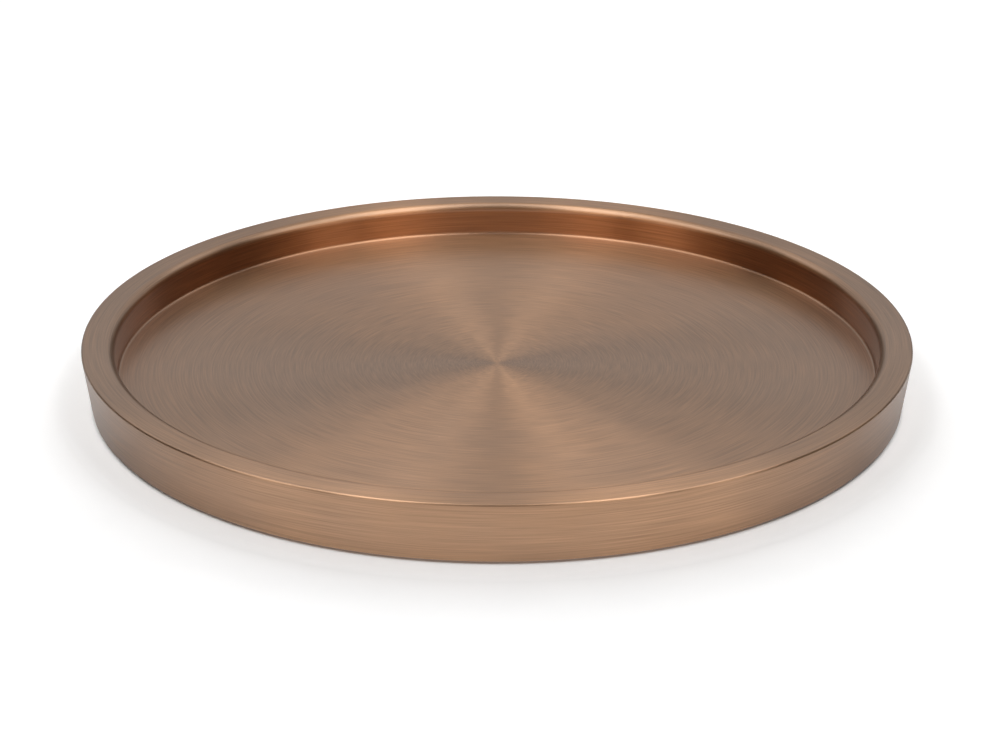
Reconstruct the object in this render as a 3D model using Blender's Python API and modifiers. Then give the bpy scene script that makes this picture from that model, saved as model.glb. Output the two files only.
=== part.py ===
"""Round serving tray in brushed copper-toned sheet metal.

The tray is double-walled. An inner pan makes the floor, the inner wall and the
flat rim, and an outer pan makes the tapered skirt and the base. The two are
lapped at the top of the skirt. A hardboard disc and a felt pad fill the space
between the floor and the base, and six rubber feet lift the base off the table.

Units are metres, +Z is up. The origin is the centre of the circle that the feet
stand on, so the feet's undersides are at Z = 0.
"""

import math

import bmesh
import bpy

# Outside of the tray
OVERALL_HEIGHT = 0.0256
RIM_RADIUS = 0.1772
SKIRT_LIFT = 0.0009
SHEET = 0.0007

# Rim and the corner where it turns down into the skirt
RIM_CORNER_RADIUS = 0.0009
BEAD_RADIUS = 0.0040

# Well of the tray
WALL_TOP_RADIUS = 0.1632
WALL_FOOT_RADIUS = 0.1630
FLOOR_FILLET = 0.0013
FLOOR_EDGE_HEIGHT = 0.0107
FLOOR_CENTRE_HEIGHT = 0.0082

# Skirt and base
SKIRT_FOOT_RADIUS = 0.1742
BASE_CORNER_RADIUS = 0.0008
BASE_RECESS_DEPTH = 0.0009
BASE_RECESS_RADIUS = 0.1600
BASE_STEP_WIDTH = 0.0020

# Lap joint between the two pans
LIP_DEPTH = 0.0040
TONGUE_TOP_DROP = 0.0014
GAP = 0.0003

# Filling between the pans
BOARD_RADIUS = 0.1570
BOARD_THICKNESS = 0.0030
BOARD_CHAMFER = 0.0005

# Rubber feet
FOOT_COUNT = 6
FOOT_CIRCLE_RADIUS = 0.1440
FOOT_RADIUS = 0.0075
FOOT_DRAFT = 0.0004
FOOT_EDGE = 0.0003

TURN_STEPS = 72
FOOT_STEPS = 32

RIM_CENTRE_RADIUS = RIM_RADIUS - RIM_CORNER_RADIUS
RIM_CENTRE_HEIGHT = OVERALL_HEIGHT - RIM_CORNER_RADIUS
BASE_UNDERSIDE = SKIRT_LIFT + BASE_RECESS_DEPTH
BASE_CORNER_HEIGHT = SKIRT_LIFT + BASE_CORNER_RADIUS
SEAM_HEIGHT = OVERALL_HEIGHT - LIP_DEPTH
SKIRT_SLOPE = (RIM_RADIUS - SKIRT_FOOT_RADIUS) / (RIM_CENTRE_HEIGHT - BASE_CORNER_HEIGHT)
FLOOR_EDGE_RADIUS = WALL_FOOT_RADIUS - FLOOR_FILLET
BOARD_BOTTOM = BASE_UNDERSIDE + SHEET + GAP
BOARD_TOP = BOARD_BOTTOM + BOARD_THICKNESS
FOOT_HEIGHT = BASE_UNDERSIDE - GAP


def clear_scene():
    for obj in list(bpy.data.objects):
        bpy.data.objects.remove(obj, do_unlink=True)


def new_collection(name):
    collection = bpy.data.collections.new(name)
    bpy.context.scene.collection.children.link(collection)
    return collection


def new_material(name, color, roughness, metallic):
    material = bpy.data.materials.new(name)
    material.use_nodes = True
    material.diffuse_color = (*color, 1.0)
    shader = material.node_tree.nodes["Principled BSDF"]
    shader.inputs["Base Color"].default_value = (*color, 1.0)
    shader.inputs["Roughness"].default_value = roughness
    shader.inputs["Metallic"].default_value = metallic
    return material


def arc(centre_radius, centre_height, radius, start, end, count):
    """Points on an arc in the profile plane, from angle start to end in degrees."""
    points = []
    for index in range(count + 1):
        angle = math.radians(start + (end - start) * index / count)
        points.append(
            (centre_radius + radius * math.cos(angle), centre_height + radius * math.sin(angle))
        )
    return points


def floor_height(radius):
    """Top of the floor, which sinks slightly towards its centre."""
    dish = FLOOR_EDGE_HEIGHT - FLOOR_CENTRE_HEIGHT
    return FLOOR_CENTRE_HEIGHT + dish * (radius / FLOOR_EDGE_RADIUS) ** 2


def skirt_radius(height):
    """Outside of the skirt, which narrows from the rim down to the base."""
    return RIM_RADIUS - SKIRT_SLOPE * (RIM_CENTRE_HEIGHT - height)


def turned(name, profile, steps, material, collection, sheet=None):
    """Spins a profile round Z. With sheet given, the profile is one face of a sheet that thick."""
    mesh = bpy.data.meshes.new(name)
    edges = [(index, index + 1) for index in range(len(profile) - 1)]
    mesh.from_pydata([(radius, 0.0, height) for radius, height in profile], edges, [])
    obj = bpy.data.objects.new(name, mesh)
    collection.objects.link(obj)
    mesh.materials.append(material)
    spin = obj.modifiers.new("Spin", "SCREW")
    spin.axis = "Z"
    spin.steps = steps
    spin.render_steps = steps
    spin.use_merge_vertices = True
    spin.merge_threshold = 0.00001
    spin.use_smooth_shade = True
    if sheet is not None:
        thicken = obj.modifiers.new("Sheet", "SOLIDIFY")
        thicken.thickness = sheet
        thicken.offset = -1.0
        thicken.use_even_offset = True
    return obj


def inner_pan(material, collection):
    """Floor, inner wall, rounded bead, flat rim and the short lip that laps over the skirt."""
    floor_radii = (0.0, FLOOR_EDGE_RADIUS / 3, FLOOR_EDGE_RADIUS * 2 / 3)
    floor = [(radius, floor_height(radius)) for radius in floor_radii]
    fillet = arc(
        FLOOR_EDGE_RADIUS, FLOOR_EDGE_HEIGHT + FLOOR_FILLET, FLOOR_FILLET, -90.0, 0.0, 4
    )
    bead_centre = WALL_TOP_RADIUS + BEAD_RADIUS
    bead = arc(bead_centre, OVERALL_HEIGHT - BEAD_RADIUS, BEAD_RADIUS, 180.0, 90.0, 6)
    corner = arc(RIM_CENTRE_RADIUS, RIM_CENTRE_HEIGHT, RIM_CORNER_RADIUS, 90.0, 0.0, 4)
    lip_end = [(skirt_radius(SEAM_HEIGHT), SEAM_HEIGHT)]
    profile = floor + fillet + bead + corner + lip_end
    return turned("inner_pan", profile, TURN_STEPS, material, collection, SHEET)


def outer_pan(material, collection):
    """Tongue behind the lip, tapered skirt, rounded foot and a base that is recessed inside a ring."""
    tongue_inset = SHEET + GAP
    tongue_top = OVERALL_HEIGHT - TONGUE_TOP_DROP
    ledge = SEAM_HEIGHT - GAP
    tongue = [
        (skirt_radius(tongue_top) - tongue_inset, tongue_top),
        (skirt_radius(ledge) - tongue_inset, ledge),
        (skirt_radius(ledge), ledge),
    ]
    corner = arc(
        SKIRT_FOOT_RADIUS - BASE_CORNER_RADIUS,
        BASE_CORNER_HEIGHT,
        BASE_CORNER_RADIUS,
        0.0,
        -90.0,
        4,
    )
    base = [
        (BASE_RECESS_RADIUS + BASE_STEP_WIDTH, SKIRT_LIFT),
        (BASE_RECESS_RADIUS, BASE_UNDERSIDE),
        (0.0, BASE_UNDERSIDE),
    ]
    profile = tongue + corner + base
    return turned("outer_pan", profile, TURN_STEPS, material, collection, SHEET)


def core_board(material, collection):
    """Flat disc that stiffens the base and carries the felt pad."""
    inset = BOARD_RADIUS - BOARD_CHAMFER
    profile = [
        (0.0, BOARD_TOP),
        (inset, BOARD_TOP),
        (BOARD_RADIUS, BOARD_TOP - BOARD_CHAMFER),
        (BOARD_RADIUS, BOARD_BOTTOM + BOARD_CHAMFER),
        (inset, BOARD_BOTTOM),
        (0.0, BOARD_BOTTOM),
    ]
    return turned("core_board", profile, TURN_STEPS, material, collection)


def felt_pad(material, collection):
    """Pad that takes up the dish between the flat board and the underside of the floor."""
    bottom = BOARD_TOP + GAP
    under_floor = SHEET + GAP
    top_radii = (0.0, FLOOR_EDGE_RADIUS / 3, FLOOR_EDGE_RADIUS * 2 / 3, BOARD_RADIUS)
    profile = [(radius, floor_height(radius) - under_floor) for radius in top_radii]
    profile += [(BOARD_RADIUS, bottom), (0.0, bottom)]
    return turned("felt_pad", profile, TURN_STEPS, material, collection)


def foot_mesh(material):
    """Round rubber pad, a little wider where it is stuck to the base, with softened edges."""
    mesh = bpy.data.meshes.new("foot")
    shape = bmesh.new()
    bmesh.ops.create_cone(
        shape,
        cap_ends=True,
        segments=FOOT_STEPS,
        radius1=FOOT_RADIUS - FOOT_DRAFT,
        radius2=FOOT_RADIUS,
        depth=FOOT_HEIGHT,
    )
    bmesh.ops.translate(shape, verts=shape.verts, vec=(0.0, 0.0, FOOT_HEIGHT / 2))
    shape.to_mesh(mesh)
    shape.free()
    mesh.materials.append(material)
    mesh.shade_smooth()
    mesh.set_sharp_from_angle(angle=math.radians(40.0))
    return mesh


def feet(material, collection):
    """Six equal feet on a circle. They share one mesh."""
    mesh = foot_mesh(material)
    for index in range(FOOT_COUNT):
        angle = math.radians((index + 0.5) * 360.0 / FOOT_COUNT)
        foot = bpy.data.objects.new(f"foot_{index + 1}", mesh)
        foot.location.x = FOOT_CIRCLE_RADIUS * math.cos(angle)
        foot.location.y = FOOT_CIRCLE_RADIUS * math.sin(angle)
        foot.rotation_euler.z = angle
        collection.objects.link(foot)
        edge = foot.modifiers.new("Soft edge", "BEVEL")
        edge.width = FOOT_EDGE
        edge.segments = 2
        edge.limit_method = "ANGLE"
        edge.angle_limit = math.radians(40.0)


def main():
    clear_scene()
    collection = new_collection("Serving tray")
    metal = new_material("Brushed copper", (0.48, 0.27, 0.17), 0.32, 1.0)
    hardboard = new_material("Hardboard", (0.27, 0.16, 0.08), 0.85, 0.0)
    felt = new_material("Felt", (0.16, 0.15, 0.15), 0.95, 0.0)
    rubber = new_material("Black rubber", (0.02, 0.02, 0.02), 0.75, 0.0)
    inner_pan(metal, collection)
    outer_pan(metal, collection)
    core_board(hardboard, collection)
    felt_pad(felt, collection)
    feet(rubber, collection)


main()
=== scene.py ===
"""Looks of the round double-walled serving tray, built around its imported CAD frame.

Units are metres, +Z is up, and the tray stands on Z = 0 with its axis on Z.
Every metal surface is turned round that axis and brushed in circles round it.
"""

import math

import bpy
from mathutils import Matrix, Vector


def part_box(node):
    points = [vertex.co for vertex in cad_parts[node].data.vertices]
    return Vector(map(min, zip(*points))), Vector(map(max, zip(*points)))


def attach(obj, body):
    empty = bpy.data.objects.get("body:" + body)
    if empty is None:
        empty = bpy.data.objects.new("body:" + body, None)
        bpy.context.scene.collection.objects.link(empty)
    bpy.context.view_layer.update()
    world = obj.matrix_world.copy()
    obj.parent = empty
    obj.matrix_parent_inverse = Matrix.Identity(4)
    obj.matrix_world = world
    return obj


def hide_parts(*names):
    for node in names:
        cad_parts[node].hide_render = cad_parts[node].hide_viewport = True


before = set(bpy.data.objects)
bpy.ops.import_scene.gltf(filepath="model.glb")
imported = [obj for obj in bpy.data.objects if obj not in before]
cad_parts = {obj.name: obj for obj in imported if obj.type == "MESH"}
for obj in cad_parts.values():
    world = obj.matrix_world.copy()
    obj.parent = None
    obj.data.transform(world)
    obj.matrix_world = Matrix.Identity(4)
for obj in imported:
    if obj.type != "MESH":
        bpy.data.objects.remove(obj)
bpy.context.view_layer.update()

# Sizes that the frame gives
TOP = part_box("inner_pan")[1].z
RIM_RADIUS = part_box("inner_pan")[1].x
SKIRT_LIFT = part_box("outer_pan")[0].z

# Sheet, rim and well, as in the CAD model
SHEET = 0.0007
RIM_CORNER = 0.0009
BEAD = 0.0040
WALL_TOP_RADIUS = 0.1632
WALL_FOOT_RADIUS = 0.1630
FLOOR_FILLET = 0.0013
FLOOR_EDGE_HEIGHT = 0.0107
FLOOR_CENTRE_HEIGHT = 0.0082
FLOOR_EDGE_RADIUS = WALL_FOOT_RADIUS - FLOOR_FILLET

# Skirt and base, as in the CAD model
SKIRT_FOOT_RADIUS = 0.1742
BASE_CORNER = 0.0008
BASE_RECESS_DEPTH = 0.0009
BASE_RECESS_RADIUS = 0.1600
BASE_STEP_WIDTH = 0.0020
BASE_STEP_ROUND = 0.0006

# Lap joint of the two pans, ground flush on the outside
LIP_DEPTH = 0.0040
SEAM_WIDTH = 0.00001
TONGUE_DROP = 0.0014
LAP_GAP = 0.0002

# Moulded detail of a rubber foot
FOOT_ROUND = 0.00035
FOOT_DRAFT = 0.0004
FOOT_DISH_RADIUS = 0.0042
FOOT_DISH_DEPTH = 0.00025
FOOT_GROOVE_RADII = (0.0050, 0.0058)
FOOT_GROOVE_HALF_WIDTH = 0.00014
FOOT_GROOVE_DEPTH = 0.00014

# Metal
BRUSH_ROUGHNESS = 0.345
BRUSH_CONTRAST = 0.20
COPPER = (0.45, 0.255, 0.14, 1.0)
COPPER_WARM = (0.475, 0.26, 0.135, 1.0)
COPPER_DULL = (0.415, 0.24, 0.14, 1.0)
COPPER_MARK = (0.60, 0.36, 0.23, 1.0)
# Deeper orange painted on the inner wall in place of its reflections of the floor, and how soft
# the edge of that tint is
PAINTED_WALL_REFLECTION_TINT = (0.94, 0.65, 0.42, 1.0)
PAINTED_WALL_REFLECTION_TINT_EDGE = 0.0007

# Studio: lights, and brightnesses as radiance, where 1 shows as white
CEILING = 1.3
ROOM = 1.6
WORLD_LIGHT = 0.02
BACKDROP = 0.95

# Table. Its glow lights it from within, and a shade painted round the tray dims it and darkens its
# colour, most in front
TABLE_HALF = 2.5
TABLE_GLOW = 0.31
SHADE_START = 0.176
SHADE_PEAK = 0.188
SHADE_END = 0.260
FRONT_SHADE = 0.80
SIDE_SHADE = 0.25
SHADE_DEPTH = 0.18
GLOW_EDGE = 0.001

# The table as the metal mirrors it, painted darker than the table, with a glowing patch of painted
# light in front of the tray
MIRROR_LIFT = 0.0001
FRONT_GLOW = 0.38
PATCH_RADII = (0.20, 0.45)
PATCH_FRONT = (-0.17, -0.09)

SEAM_HEIGHT = TOP - LIP_DEPTH
RIM_CENTRE_HEIGHT = TOP - RIM_CORNER
BASE_CORNER_HEIGHT = SKIRT_LIFT + BASE_CORNER
BASE_UNDERSIDE = SKIRT_LIFT + BASE_RECESS_DEPTH
SKIRT_SLOPE = (RIM_RADIUS - SKIRT_FOOT_RADIUS) / (RIM_CENTRE_HEIGHT - BASE_CORNER_HEIGHT)
SKIRT_ANGLE = math.degrees(math.atan(SKIRT_SLOPE))
WALL_ANGLE = math.degrees(
    math.atan(
        (WALL_TOP_RADIUS - WALL_FOOT_RADIUS)
        / (TOP - BEAD - FLOOR_EDGE_HEIGHT - FLOOR_FILLET)
    )
)

TURN_STEPS = 360
FOOT_STEPS = 96
ON_AXIS = 0.000001


# Shapes


def arc(centre_radius, centre_height, radius, start, end, count):
    """Profile points on an arc, from angle start to end in degrees."""
    points = []
    for index in range(count + 1):
        angle = math.radians(start + (end - start) * index / count)
        points.append(
            (centre_radius + radius * math.cos(angle), centre_height + radius * math.sin(angle))
        )
    return points


def floor_height(radius):
    """Top of the floor, which sinks a little towards its centre."""
    dish = FLOOR_EDGE_HEIGHT - FLOOR_CENTRE_HEIGHT
    return FLOOR_CENTRE_HEIGHT + dish * (radius / FLOOR_EDGE_RADIUS) ** 2


def skirt_radius(height):
    """Outside of the skirt, which narrows towards the base."""
    return RIM_RADIUS - SKIRT_SLOPE * (RIM_CENTRE_HEIGHT - height)


def without_repeats(profile):
    """The profile with points that coincide with the one before them left out."""
    kept = [profile[0]]
    for point in profile[1:]:
        if math.dist(point, kept[-1]) > ON_AXIS:
            kept.append(point)
    return kept


def sheet_back(profile, thickness):
    """The far face of a sheet whose near face is the profile, from its end back to its start."""
    back = []
    last = len(profile) - 1
    for index, (radius, height) in enumerate(profile):
        if radius < ON_AXIS:
            back.append((0.0, height - thickness if index == 0 else height + thickness))
            continue
        before = profile[max(index - 1, 0)]
        after = profile[min(index + 1, last)]
        run = Vector((after[0] - before[0], after[1] - before[1])).normalized()
        back.append((radius + run.y * thickness, height - run.x * thickness))
    back.reverse()
    return back


def lathe(name, profile, steps, sharp_degrees=40.0):
    """A closed solid turned round Z. A profile point on the axis becomes a single vertex."""
    vertices = []
    rings = []
    for radius, height in profile:
        first = len(vertices)
        if radius < ON_AXIS:
            vertices.append((0.0, 0.0, height))
            rings.append([first] * steps)
            continue
        for step in range(steps):
            angle = 2.0 * math.pi * step / steps
            vertices.append((radius * math.cos(angle), radius * math.sin(angle), height))
        rings.append([first + step for step in range(steps)])
    pairs = list(zip(rings, rings[1:]))
    if profile[0][0] > ON_AXIS or profile[-1][0] > ON_AXIS:
        pairs.append((rings[-1], rings[0]))
    faces = []
    for upper, lower in pairs:
        for step in range(steps):
            after = (step + 1) % steps
            corners = [upper[step], lower[step], lower[after], upper[after]]
            face = list(dict.fromkeys(corners))
            if len(face) > 2:
                faces.append(face)
    mesh = bpy.data.meshes.new(name)
    mesh.from_pydata(vertices, [], faces)
    mesh.shade_smooth()
    mesh.set_sharp_from_angle(angle=math.radians(sharp_degrees))
    piece = bpy.data.objects.new(name, mesh)
    bpy.context.scene.collection.objects.link(piece)
    return piece


def top_pan():
    """Floor, inner wall, bead, rim and the lip that comes down to the seam."""
    floor_rings = 32
    floor = []
    for index in range(floor_rings):
        radius = FLOOR_EDGE_RADIUS * index / floor_rings
        floor.append((radius, floor_height(radius)))
    fillet = arc(
        FLOOR_EDGE_RADIUS,
        FLOOR_EDGE_HEIGHT + FLOOR_FILLET,
        FLOOR_FILLET,
        -89.0,
        -WALL_ANGLE,
        14,
    )
    bead = arc(WALL_TOP_RADIUS + BEAD, TOP - BEAD, BEAD, 180.0 - WALL_ANGLE, 90.0, 20)
    corner = arc(RIM_RADIUS - RIM_CORNER, RIM_CENTRE_HEIGHT, RIM_CORNER, 90.0, -SKIRT_ANGLE, 12)
    lip = [(skirt_radius(SEAM_HEIGHT), SEAM_HEIGHT)]
    face = without_repeats(floor + fillet + bead + corner + lip)
    return lathe("pressed_top_pan", face + sheet_back(face, SHEET), TURN_STEPS)


def bottom_pan():
    """Tongue behind the lip, skirt, foot corner and the base with its raised middle."""
    inset = SHEET + LAP_GAP
    ledge = SEAM_HEIGHT - SEAM_WIDTH
    tongue_top = TOP - TONGUE_DROP
    tongue = [
        (skirt_radius(tongue_top) - inset, tongue_top),
        (skirt_radius(ledge) - inset, ledge),
        (skirt_radius(ledge), ledge),
    ]
    corner_radius = SKIRT_FOOT_RADIUS - BASE_CORNER
    corner = arc(corner_radius, BASE_CORNER_HEIGHT, BASE_CORNER, -SKIRT_ANGLE, -90.0, 12)
    base = list(base_step())
    base_rings = 24
    flat_radius = base[-1][0]
    for index in range(base_rings - 1, -1, -1):
        base.append((flat_radius * index / base_rings, BASE_UNDERSIDE))
    face = without_repeats(tongue + corner + base)
    return lathe("pressed_bottom_pan", face + sheet_back(face, SHEET), TURN_STEPS)


def base_step():
    """The soft step from the ring that the skirt stands on up to the raised base."""
    steps = 10
    start = BASE_RECESS_RADIUS + BASE_STEP_WIDTH + BASE_STEP_ROUND
    width = BASE_STEP_WIDTH + 2.0 * BASE_STEP_ROUND
    for index in range(steps + 1):
        share = index / steps
        rise = BASE_RECESS_DEPTH * (0.5 - 0.5 * math.cos(math.pi * share))
        yield (start - width * share, SKIRT_LIFT + rise)


def foot_profile(radius, height):
    """A low rubber foot, from its stuck face round its side to the tread underneath."""
    waist = radius - FOOT_DRAFT
    side = [(0.0, height), (radius - 0.0001, height), (radius, height - 0.0001)]
    edge = arc(waist - FOOT_ROUND, FOOT_ROUND, FOOT_ROUND, -10.0, -90.0, 6)
    tread = []
    for groove in reversed(FOOT_GROOVE_RADII):
        tread.append((groove + FOOT_GROOVE_HALF_WIDTH, 0.0))
        tread.append((groove, FOOT_GROOVE_DEPTH))
        tread.append((groove - FOOT_GROOVE_HALF_WIDTH, 0.0))
    dish_steps = 8
    for index in range(dish_steps + 1):
        share = 1.0 - index / dish_steps
        rise = FOOT_DISH_DEPTH * (0.5 + 0.5 * math.cos(math.pi * share))
        tread.append((FOOT_DISH_RADIUS * share, rise))
    return without_repeats(side + edge + tread)


def foot_pad(number):
    """One moulded foot, in the place of the CAD foot that it stands for."""
    low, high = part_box(f"foot_{number}")
    radius = min(high.x - low.x, high.y - low.y) / 2.0
    pad = lathe(f"moulded_foot_{number}", foot_profile(radius, high.z), FOOT_STEPS, 30.0)
    centre = (low + high) / 2.0
    pad.data.transform(Matrix.Translation((centre.x, centre.y, 0.0)))
    return pad


# Materials


class Shading:
    """A new material, with short ways to add nodes and to join them."""

    def __init__(self, name, roughness, metallic=0.0):
        self.material = bpy.data.materials.new(name)
        self.material.use_nodes = True
        self.tree = self.material.node_tree
        self.shader = self.tree.nodes["Principled BSDF"]
        self.set("Roughness", roughness)
        self.set("Metallic", metallic)

    def set(self, socket, value):
        self.shader.inputs[socket].default_value = value

    def feed(self, socket, source):
        self.tree.links.new(source, self.shader.inputs[socket])

    def position(self):
        return self.tree.nodes.new("ShaderNodeTexCoord").outputs["Object"]

    def fill(self, socket, value):
        if isinstance(value, bpy.types.NodeSocket):
            self.tree.links.new(value, socket)
        else:
            socket.default_value = value

    def math(self, operation, first, second=0.0, clamp=False):
        node = self.tree.nodes.new("ShaderNodeMath")
        node.operation = operation
        node.use_clamp = clamp
        self.fill(node.inputs[0], first)
        self.fill(node.inputs[1], second)
        return node.outputs["Value"]

    def vector(self, operation, first, second=None):
        node = self.tree.nodes.new("ShaderNodeVectorMath")
        node.operation = operation
        self.fill(node.inputs[0], first)
        if second is not None:
            self.fill(node.inputs[1], second)
        return node.outputs["Value" if operation == "LENGTH" else "Vector"]

    def join(self, x, y, z):
        node = self.tree.nodes.new("ShaderNodeCombineXYZ")
        self.fill(node.inputs[0], x)
        self.fill(node.inputs[1], y)
        self.fill(node.inputs[2], z)
        return node.outputs["Vector"]

    def split(self, vector):
        node = self.tree.nodes.new("ShaderNodeSeparateXYZ")
        self.fill(node.inputs[0], vector)
        return node.outputs

    def noise(self, place, scale, detail=2.0, roughness=0.5):
        """Smooth noise, about 0 to 1 and 0.5 on average."""
        node = self.tree.nodes.new("ShaderNodeTexNoise")
        self.fill(node.inputs["Vector"], place)
        node.inputs["Scale"].default_value = scale
        node.inputs["Detail"].default_value = detail
        node.inputs["Roughness"].default_value = roughness
        return node.outputs["Fac"]

    def cells(self, place, scale):
        """Distance to the nearest of scattered points, and that point's own random colour."""
        node = self.tree.nodes.new("ShaderNodeTexVoronoi")
        self.fill(node.inputs["Vector"], place)
        node.inputs["Scale"].default_value = scale
        return node.outputs["Distance"], node.outputs["Color"]

    def span(self, value, low, high, to_low, to_high):
        """Maps low..high to to_low..to_high, and holds the ends."""
        node = self.tree.nodes.new("ShaderNodeMapRange")
        self.fill(node.inputs["Value"], value)
        node.inputs["From Min"].default_value = low
        node.inputs["From Max"].default_value = high
        node.inputs["To Min"].default_value = to_low
        node.inputs["To Max"].default_value = to_high
        return node.outputs["Result"]

    def blend(self, amount, first, second, mode="MIX"):
        node = self.tree.nodes.new("ShaderNodeMix")
        node.data_type = "RGBA"
        node.blend_type = mode
        self.fill(node.inputs[0], amount)
        self.fill(node.inputs[6], first)
        self.fill(node.inputs[7], second)
        return node.outputs[2]

    def bump(self, height, distance, strength=1.0):
        node = self.tree.nodes.new("ShaderNodeBump")
        node.inputs["Strength"].default_value = strength
        node.inputs["Distance"].default_value = distance
        self.fill(node.inputs["Height"], height)
        return node.outputs["Normal"]


def brushed_copper():
    """Copper-toned sheet, brushed in circles round the tray's axis and lacquered."""
    look = Shading("brushed_copper", BRUSH_ROUGHNESS, 1.0)
    look.set("Anisotropic", 0.96)
    look.set("Anisotropic Rotation", 0.25)
    look.set("Coat Weight", 0.9)
    look.set("Coat Roughness", 0.25)
    place = look.position()
    round_axis = look.vector("CROSS_PRODUCT", (0.0, 0.0, 1.0), place)
    look.feed("Tangent", look.vector("NORMALIZE", round_axis))

    # Across the brush lines, the distance along the pressed sheet is close to radius plus height
    flat = look.vector("MULTIPLY", place, (1.0, 1.0, 0.0))
    heading = look.split(look.vector("NORMALIZE", flat))
    radius = look.vector("LENGTH", flat)
    height = look.split(place)["Z"]
    across = look.math("ADD", radius, height)

    def streaks(turns, lines, detail):
        """Noise drawn out along the circles: turns sets its length, lines its count per metre."""
        sideways = look.math("MULTIPLY", heading["X"], turns)
        lengthways = look.math("MULTIPLY", heading["Y"], turns)
        spacing = look.math("MULTIPLY", across, lines)
        return look.noise(look.join(sideways, lengthways, spacing), 1.0, detail)

    hairlines = streaks(5.0, 1600.0, 3.0)
    bands = streaks(2.0, 300.0, 2.0)
    clouds = look.noise(place, 16.0, 3.0, 0.55)

    # Colour: warm and dull clouds, then light and dark brush lines over them
    tone = look.blend(look.span(clouds, 0.35, 0.65, 0.0, 1.0), COPPER_DULL, COPPER_WARM)
    tone = look.blend(0.5, COPPER, tone)
    fine = look.math("MULTIPLY", hairlines, 0.88)
    lines = look.math("ADD", fine, look.math("MULTIPLY", bands, 0.12))
    shade = look.span(lines, 0.3, 0.7, 1.0 - BRUSH_CONTRAST, 1.0 + BRUSH_CONTRAST)
    tone = look.blend(1.0, tone, look.join(shade, shade, shade), "MULTIPLY")

    # A few pin-point marks in the lacquer, on about one cell in six
    distance, chance = look.cells(place, 90.0)
    marked = look.math("GREATER_THAN", look.split(chance)["X"], 0.84)
    spot = look.math("MULTIPLY", look.span(distance, 0.025, 0.05, 1.0, 0.0), marked)
    tone = look.blend(look.math("MULTIPLY", spot, 0.35), tone, COPPER_MARK)

    # Painted reflection: the inner wall gets a deeper orange tint, in place of the redder light
    # that reflections between floor and wall give it
    past_floor = look.span(radius, WALL_FOOT_RADIUS - PAINTED_WALL_REFLECTION_TINT_EDGE, WALL_FOOT_RADIUS, 0.0, 1.0)
    before_bead = look.span(radius, WALL_TOP_RADIUS, WALL_TOP_RADIUS + 0.25 * BEAD, 1.0, 0.0)
    above_base = look.math("GREATER_THAN", height, FLOOR_CENTRE_HEIGHT)
    wall = look.math("MULTIPLY", look.math("MINIMUM", past_floor, before_bead), above_base)
    tone = look.blend(wall, tone, look.blend(1.0, tone, PAINTED_WALL_REFLECTION_TINT, "MULTIPLY"))
    look.feed("Base Color", tone)

    line_gloss = look.span(lines, 0.3, 0.7, -0.02, 0.02)
    cloud_gloss = look.span(clouds, 0.3, 0.7, -0.015, 0.015)
    rough = look.math("ADD", line_gloss, cloud_gloss)
    look.feed("Roughness", look.math("ADD", rough, BRUSH_ROUGHNESS))
    look.feed("Normal", look.bump(lines, 0.00002, 0.5))
    return look.material


def hardboard():
    """Pressed brown board with short matted fibres."""
    look = Shading("pressed_hardboard", 0.85)
    place = look.position()
    fibres = look.noise(look.vector("MULTIPLY", place, (1.0, 4.0, 1.0)), 420.0, 4.0, 0.65)
    patches = look.noise(place, 40.0, 3.0)
    light = look.span(fibres, 0.3, 0.7, 0.0, 1.0)
    tone = look.blend(light, (0.20, 0.115, 0.055, 1.0), (0.34, 0.21, 0.11, 1.0))
    tone = look.blend(look.span(patches, 0.3, 0.7, 0.0, 0.4), tone, (0.25, 0.14, 0.07, 1.0))
    look.feed("Base Color", tone)
    look.feed("Roughness", look.span(fibres, 0.3, 0.7, 0.75, 0.95))
    look.feed("Normal", look.bump(fibres, 0.0001, 0.6))
    return look.material


def grey_felt():
    """Pressed grey felt with tangled hairs and lighter flecks."""
    look = Shading("grey_felt", 0.95)
    look.set("Sheen Weight", 0.25)
    look.set("Sheen Roughness", 0.5)
    place = look.position()
    hairs = look.noise(place, 900.0, 5.0, 0.7)
    flecks, chance = look.cells(place, 500.0)
    light = look.span(hairs, 0.3, 0.7, 0.0, 1.0)
    tone = look.blend(light, (0.11, 0.105, 0.105, 1.0), (0.22, 0.21, 0.205, 1.0))
    chosen = look.math("GREATER_THAN", look.split(chance)["Y"], 0.9)
    fleck = look.math("MULTIPLY", look.span(flecks, 0.1, 0.3, 0.5, 0.0), chosen)
    look.feed("Base Color", look.blend(fleck, tone, (0.42, 0.40, 0.38, 1.0)))
    look.feed("Normal", look.bump(hairs, 0.0002, 0.8))
    return look.material


def black_rubber():
    """Moulded black rubber, finely pitted, with a trace of dust."""
    look = Shading("black_rubber", 0.7)
    place = look.position()
    pits = look.noise(place, 2600.0, 3.0, 0.6)
    dust = look.noise(place, 180.0, 4.0, 0.6)
    dusty = look.span(dust, 0.45, 0.75, 0.0, 0.5)
    tone = look.blend(dusty, (0.018, 0.018, 0.019, 1.0), (0.055, 0.053, 0.05, 1.0))
    look.feed("Base Color", tone)
    look.feed("Roughness", look.span(dust, 0.3, 0.7, 0.62, 0.85))
    look.feed("Normal", look.bump(pits, 0.00006, 0.6))
    return look.material


def paper(name):
    """Matt paper, before its colour and its glow, and a faint grain for it."""
    look = Shading(name, 0.8)
    look.set("Specular IOR Level", 0.1)
    look.set("Emission Color", (1.0, 1.0, 1.0, 1.0))
    grain = look.span(look.noise(look.position(), 30.0, 3.0), 0.3, 0.7, 0.0, 1.0)
    return look, grain


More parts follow.
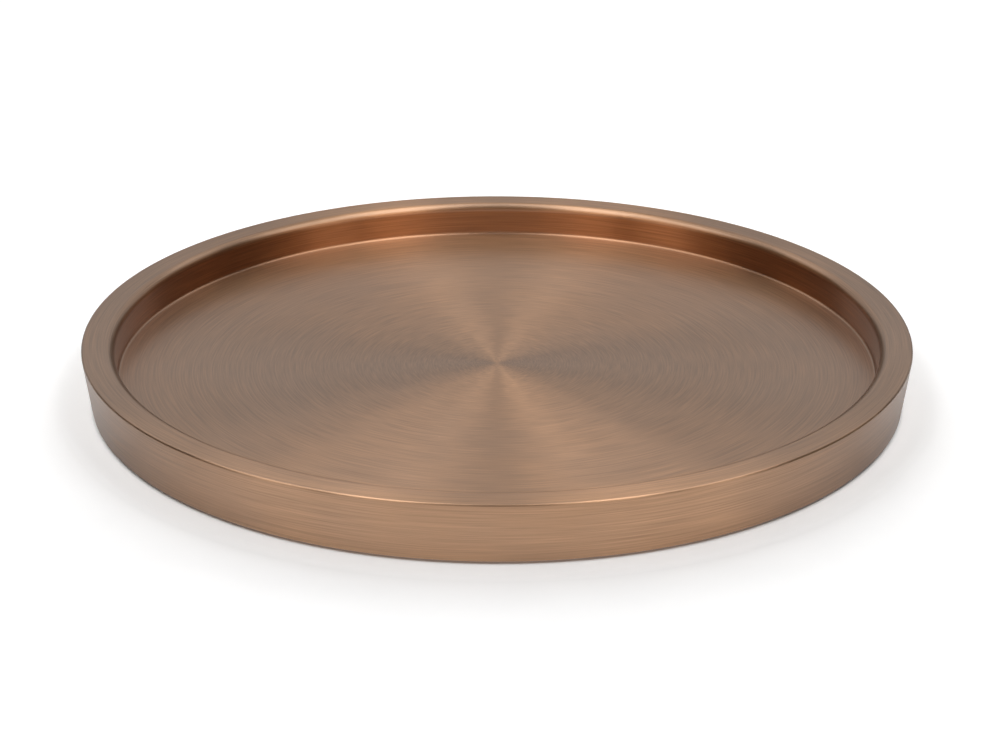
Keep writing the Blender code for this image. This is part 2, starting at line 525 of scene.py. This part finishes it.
def white_paper():
    """White table top that glows except under the tray. Its shade is painted in round the tray."""
    look, grain = paper("white_paper")
    place = look.position()
    away = look.vector("LENGTH", place)
    rising = look.span(away, SHADE_START, SHADE_PEAK, 0.0, 1.0)
    falling = look.span(away, SHADE_PEAK, SHADE_END, 1.0, 0.0)
    near = look.math("MINIMUM", rising, falling)
    forward = look.span(look.split(place)["Y"], -SHADE_START, 0.0, FRONT_SHADE, SIDE_SHADE)
    shade = look.math("MULTIPLY", near, forward)
    under_edge = SKIRT_FOOT_RADIUS - GLOW_EDGE
    clear_edge = SKIRT_FOOT_RADIUS + GLOW_EDGE
    outside = look.span(away, under_edge, clear_edge, 0.0, 1.0)
    lit = look.math("MULTIPLY", look.math("SUBTRACT", 1.0, shade), outside)
    look.feed("Emission Strength", look.math("MULTIPLY", lit, TABLE_GLOW))
    tone = look.blend(grain, (0.84, 0.84, 0.84, 1.0), (0.86, 0.86, 0.86, 1.0))
    # Painted shadow: the same shade also darkens the table's colour round the tray
    depth = look.math("MULTIPLY", shade, SHADE_DEPTH)
    look.feed("Base Color", look.blend(depth, tone, (0.30, 0.29, 0.28, 1.0)))
    return look.material


def mirrored_paper():
    """The table as the metal mirrors it: painted a darker grey, with a glowing patch of painted
    light in front of the tray.
    """
    look, grain = paper("mirrored_paper")
    place = look.position()
    near = look.span(look.vector("LENGTH", place), *PATCH_RADII, 1.0, 0.0)
    forward = look.span(look.split(place)["Y"], *PATCH_FRONT, 1.0, 0.0)
    patch = look.math("MULTIPLY", near, forward)
    look.feed("Emission Strength", look.math("MULTIPLY", patch, FRONT_GLOW))
    look.feed("Base Color", look.blend(grain, (0.60, 0.60, 0.60, 1.0), (0.64, 0.64, 0.64, 1.0)))
    return look.material


def table(name, height, material):
    """A large level square of a material at a height."""
    signs = ((-1.0, -1.0), (1.0, -1.0), (1.0, 1.0), (-1.0, 1.0))
    corners = [(x * TABLE_HALF, y * TABLE_HALF, height) for x, y in signs]
    mesh = bpy.data.meshes.new(name)
    mesh.from_pydata(corners, [], [(0, 1, 2, 3)])
    sheet = bpy.data.objects.new(name, mesh)
    bpy.context.scene.collection.objects.link(sheet)
    mesh.materials.append(material)
    return sheet


# Studio


def add_camera():
    """A long lens in front of the tray and 23 degrees above it."""
    distance = 1.0285
    elevation = math.radians(22.872)
    pitch = math.radians(22.740)
    yaw = math.radians(0.077)
    roll = math.radians(0.113)
    data = bpy.data.cameras.new("camera")
    data.lens = 85.0
    data.sensor_width = 36.0
    camera = bpy.data.objects.new("camera", data)
    bpy.context.scene.collection.objects.link(camera)
    forward = Vector(
        (math.sin(yaw) * math.cos(pitch), math.cos(yaw) * math.cos(pitch), -math.sin(pitch))
    )
    level = forward.cross(Vector((0.0, 0.0, 1.0))).normalized()
    raised = level.cross(forward)
    right = level * math.cos(roll) + raised * math.sin(roll)
    up = raised * math.cos(roll) - level * math.sin(roll)
    turn = Matrix((right, up, -forward)).transposed().to_4x4()
    spot = Vector((0.0, -distance * math.cos(elevation), distance * math.sin(elevation)))
    camera.matrix_world = Matrix.Translation(spot) @ turn
    bpy.context.scene.camera = camera


def softbox(name, spot, facing, width, height, brightness, swing=0.0):
    """A soft rectangle of light at spot, facing a direction. Brightness is its own radiance."""
    data = bpy.data.lights.new(name, "AREA")
    data.shape = "RECTANGLE"
    data.size = width
    data.size_y = height
    data.energy = math.pi * width * height * brightness
    light = bpy.data.objects.new(name, data)
    light.location = spot
    turn = Vector(facing).to_track_quat("-Z", "Y")
    light.rotation_euler = turn.to_euler()
    light.rotation_euler.rotate_axis("Z", math.radians(swing))
    light.visible_camera = False
    bpy.context.scene.collection.objects.link(light)
    return light


def light_studio():
    """Softboxes overhead that part towards the camera, and weaker panels round the tray.

    The metal mirrors the dim world. The camera sees it as a white backdrop above the table's edge.
    """
    down = (0.0, 0.0, -1.0)
    softbox("key_left", (-0.48, -0.30, CEILING), down, 0.42, 1.5, 3.5, -25.0)
    softbox("key_right", (0.48, -0.30, CEILING), down, 0.42, 1.5, 3.6, 25.0)
    softbox("wing_left", (-1.10, -0.12, CEILING), down, 0.75, 1.6, 2.0, -42.0)
    softbox("wing_right", (1.05, -0.12, CEILING), down, 0.65, 1.6, 2.0, 42.0)
    softbox("top_centre", (0.0, 0.45, CEILING), down, 0.35, 0.6, 2.0)
    softbox("top_back_left", (-0.90, 1.2, CEILING), down, 1.4, 0.8, 1.25)
    softbox("top_back_right", (0.90, 1.2, CEILING), down, 1.4, 0.8, 1.1)
    softbox("back_fill", (0.0, ROOM, 0.85), (0.0, -1.0, 0.0), 2.0 * ROOM, 0.9, 0.50)
    softbox("front_fill", (0.1, -ROOM, 0.40), (0.0, 1.0, 0.0), 2.8, 0.8, 0.9)
    softbox("side_left", (-ROOM, -1.15, 0.35), (1.0, 0.0, 0.0), 0.8, 0.7, 1.0)
    softbox("side_right", (ROOM, -1.15, 0.35), (-1.0, 0.0, 0.0), 0.7, 0.7, 1.0)
    world = bpy.data.worlds.new("world")
    world.use_nodes = True
    background = world.node_tree.nodes["Background"]
    background.inputs["Color"].default_value = (1.0, 1.0, 1.0, 1.0)
    path = world.node_tree.nodes.new("ShaderNodeLightPath")
    strength = world.node_tree.nodes.new("ShaderNodeMapRange")
    strength.inputs["To Min"].default_value = WORLD_LIGHT
    strength.inputs["To Max"].default_value = BACKDROP
    world.node_tree.links.new(path.outputs["Is Camera Ray"], strength.inputs["Value"])
    world.node_tree.links.new(strength.outputs["Result"], background.inputs["Strength"])
    bpy.context.scene.world = world


add_camera()
light_studio()

metal = brushed_copper()
for piece, node in ((top_pan(), "inner_pan"), (bottom_pan(), "outer_pan")):
    piece.data.materials.append(metal)
    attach(piece, "root")
    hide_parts(node)

rubber = black_rubber()
feet = [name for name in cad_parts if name.startswith("foot_")]
for number in range(1, len(feet) + 1):
    pad = foot_pad(number)
    pad.data.materials.append(rubber)
    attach(pad, "root")
    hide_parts(f"foot_{number}")

for name, material in (("core_board", hardboard()), ("felt_pad", grey_felt())):
    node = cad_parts[name]
    node.data.materials.clear()
    node.data.materials.append(material)

table_top = table("table_top", 0.0, white_paper())
table_top.visible_glossy = False
mirrored_top = table("table_seen_in_metal", MIRROR_LIFT, mirrored_paper())
mirrored_top.visible_camera = False
mirrored_top.visible_diffuse = False
mirrored_top.visible_shadow = False

bpy.context.scene.view_settings.view_transform = "Standard"
bpy.context.scene.view_settings.look = "None"
